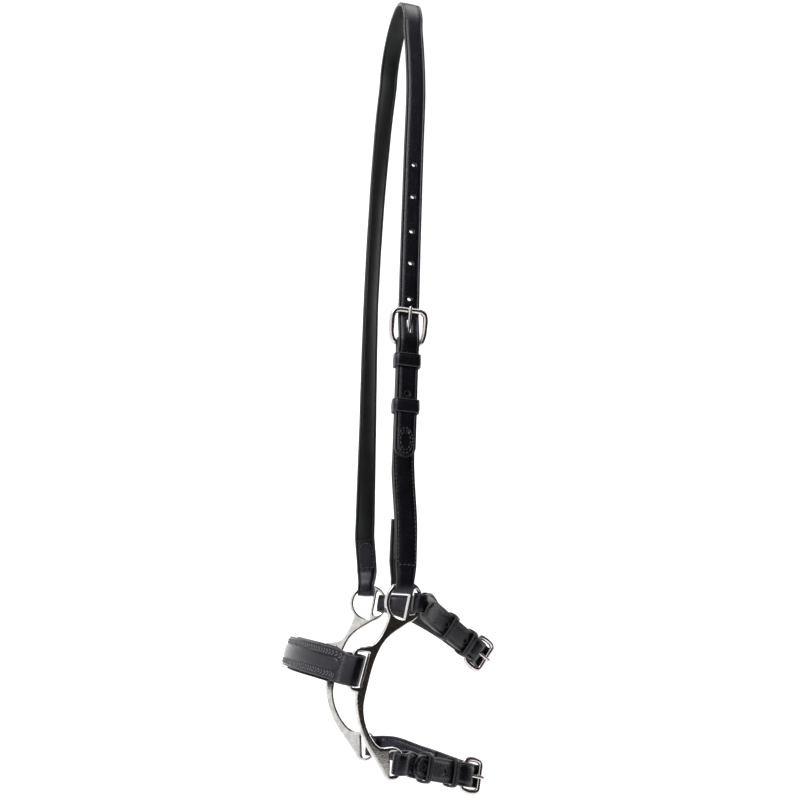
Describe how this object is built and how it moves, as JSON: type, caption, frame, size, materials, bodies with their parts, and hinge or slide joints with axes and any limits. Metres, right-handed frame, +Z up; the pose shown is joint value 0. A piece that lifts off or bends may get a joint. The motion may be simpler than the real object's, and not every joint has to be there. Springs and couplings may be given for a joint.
{
  "type": "bitless hackamore",
  "caption": "Bitless bridle nosepiece: a leather headpiece over the poll hangs two metal cheeks joined by a padded noseband and buckled chin straps.",
  "frame": {"origin": "centre of the arch over the poll, on the middle plane between the two cheeks", "axes": "+Z up, -X towards the nose, +X towards the throat, near side at -Y"},
  "size_m": [0.1547, 0.1374, 0.6322],
  "materials": {
    "strap_leather": "glossy black bridle leather with stitched edges",
    "noseband_leather": "glossy black leather with fancy stitching",
    "padding_leather": "soft black padded leather lining",
    "polished_steel": "polished cast steel",
    "buckle_steel": "polished steel wire"
  },
  "bodies": {
    "headpiece": {"headpiece_strap": "strap_leather", "near_cheek_strap": "strap_leather", "head_buckle_frame": "buckle_steel", "head_fixed_keeper": "strap_leather"},
    "head_tongue": {"head_buckle_tongue": "buckle_steel"},
    "head_runner": {"head_runner_keeper": "strap_leather"},
    "cheeks": {"near_cheek": "polished_steel", "far_cheek": "polished_steel"},
    "noseband": {"noseband_strap": "noseband_leather", "noseband_padding": "padding_leather", "noseband_raised_strip": "noseband_leather"},
    "upper_chin": {"upper_chin_buckle_strap": "strap_leather", "upper_chin_billet_strap": "strap_leather", "upper_chin_buckle_frame": "buckle_steel", "upper_chin_fixed_keeper": "strap_leather"},
    "upper_chin_tongue": {"upper_chin_buckle_tongue": "buckle_steel"},
    "upper_chin_runner": {"upper_chin_runner_keeper": "strap_leather"},
    "lower_chin": {"lower_chin_buckle_strap": "strap_leather", "lower_chin_billet_strap": "strap_leather", "lower_chin_buckle_frame": "buckle_steel", "lower_chin_fixed_keeper": "strap_leather"},
    "lower_chin_tongue": {"lower_chin_buckle_tongue": "buckle_steel"},
    "lower_chin_runner": {"lower_chin_runner_keeper": "strap_leather"}
  },
  "joints": [
    {"name": "cheek_swing", "type": "hinge", "parent": "headpiece", "child": "cheeks", "pos_m": [0.008, 0, -0.456], "axis": [0, 1, 0], "range_deg": [-3, 9]},
    {"name": "noseband_tilt", "type": "hinge", "parent": "cheeks", "child": "noseband", "pos_m": [-0.02686, 0, -0.50118], "axis": [0, 1, 0], "range_deg": [0, 4]},
    {"name": "upper_chin_lift", "type": "hinge", "parent": "cheeks", "child": "upper_chin", "pos_m": [0.02004, 0, -0.456], "axis": [0, -1, 0], "range_deg": [0, 5]},
    {"name": "lower_chin_lift", "type": "hinge", "parent": "cheeks", "child": "lower_chin", "pos_m": [0.01329, 0, -0.56226], "axis": [0, -1, 0], "range_deg": [0, 6]},
    {"name": "head_tongue_open", "type": "hinge", "parent": "headpiece", "child": "head_tongue", "pos_m": [0.004, -0.05119, -0.269], "axis": [1, 0, 0], "range_deg": [0, 10]},
    {"name": "head_runner_slide", "type": "slide", "parent": "headpiece", "child": "head_runner", "axis": [0, 0.0297, 0.9996], "range_m": [-0.03, 0.024]},
    {"name": "upper_chin_tongue_open", "type": "hinge", "parent": "upper_chin", "child": "upper_chin_tongue", "pos_m": [0.07079, -0.01949, -0.4858], "axis": [-0.5328, 0.0554, -0.8444], "range_deg": [0, 10]},
    {"name": "upper_chin_runner_slide", "type": "slide", "parent": "upper_chin", "child": "upper_chin_runner", "axis": [0.7472, 0.4992, -0.4387], "range_m": [-0.012, 0.019]},
    {"name": "lower_chin_tongue_open", "type": "hinge", "parent": "lower_chin", "child": "lower_chin_tongue", "pos_m": [0.06946, -0.00945, -0.57416], "axis": [-0.1555, -0.0907, -0.9837], "range_deg": [0, 10]},
    {"name": "lower_chin_runner_slide", "type": "slide", "parent": "lower_chin", "child": "lower_chin_runner", "axis": [0.8496, 0.4958, -0.18], "range_m": [-0.009, 0.021]}
  ]
}
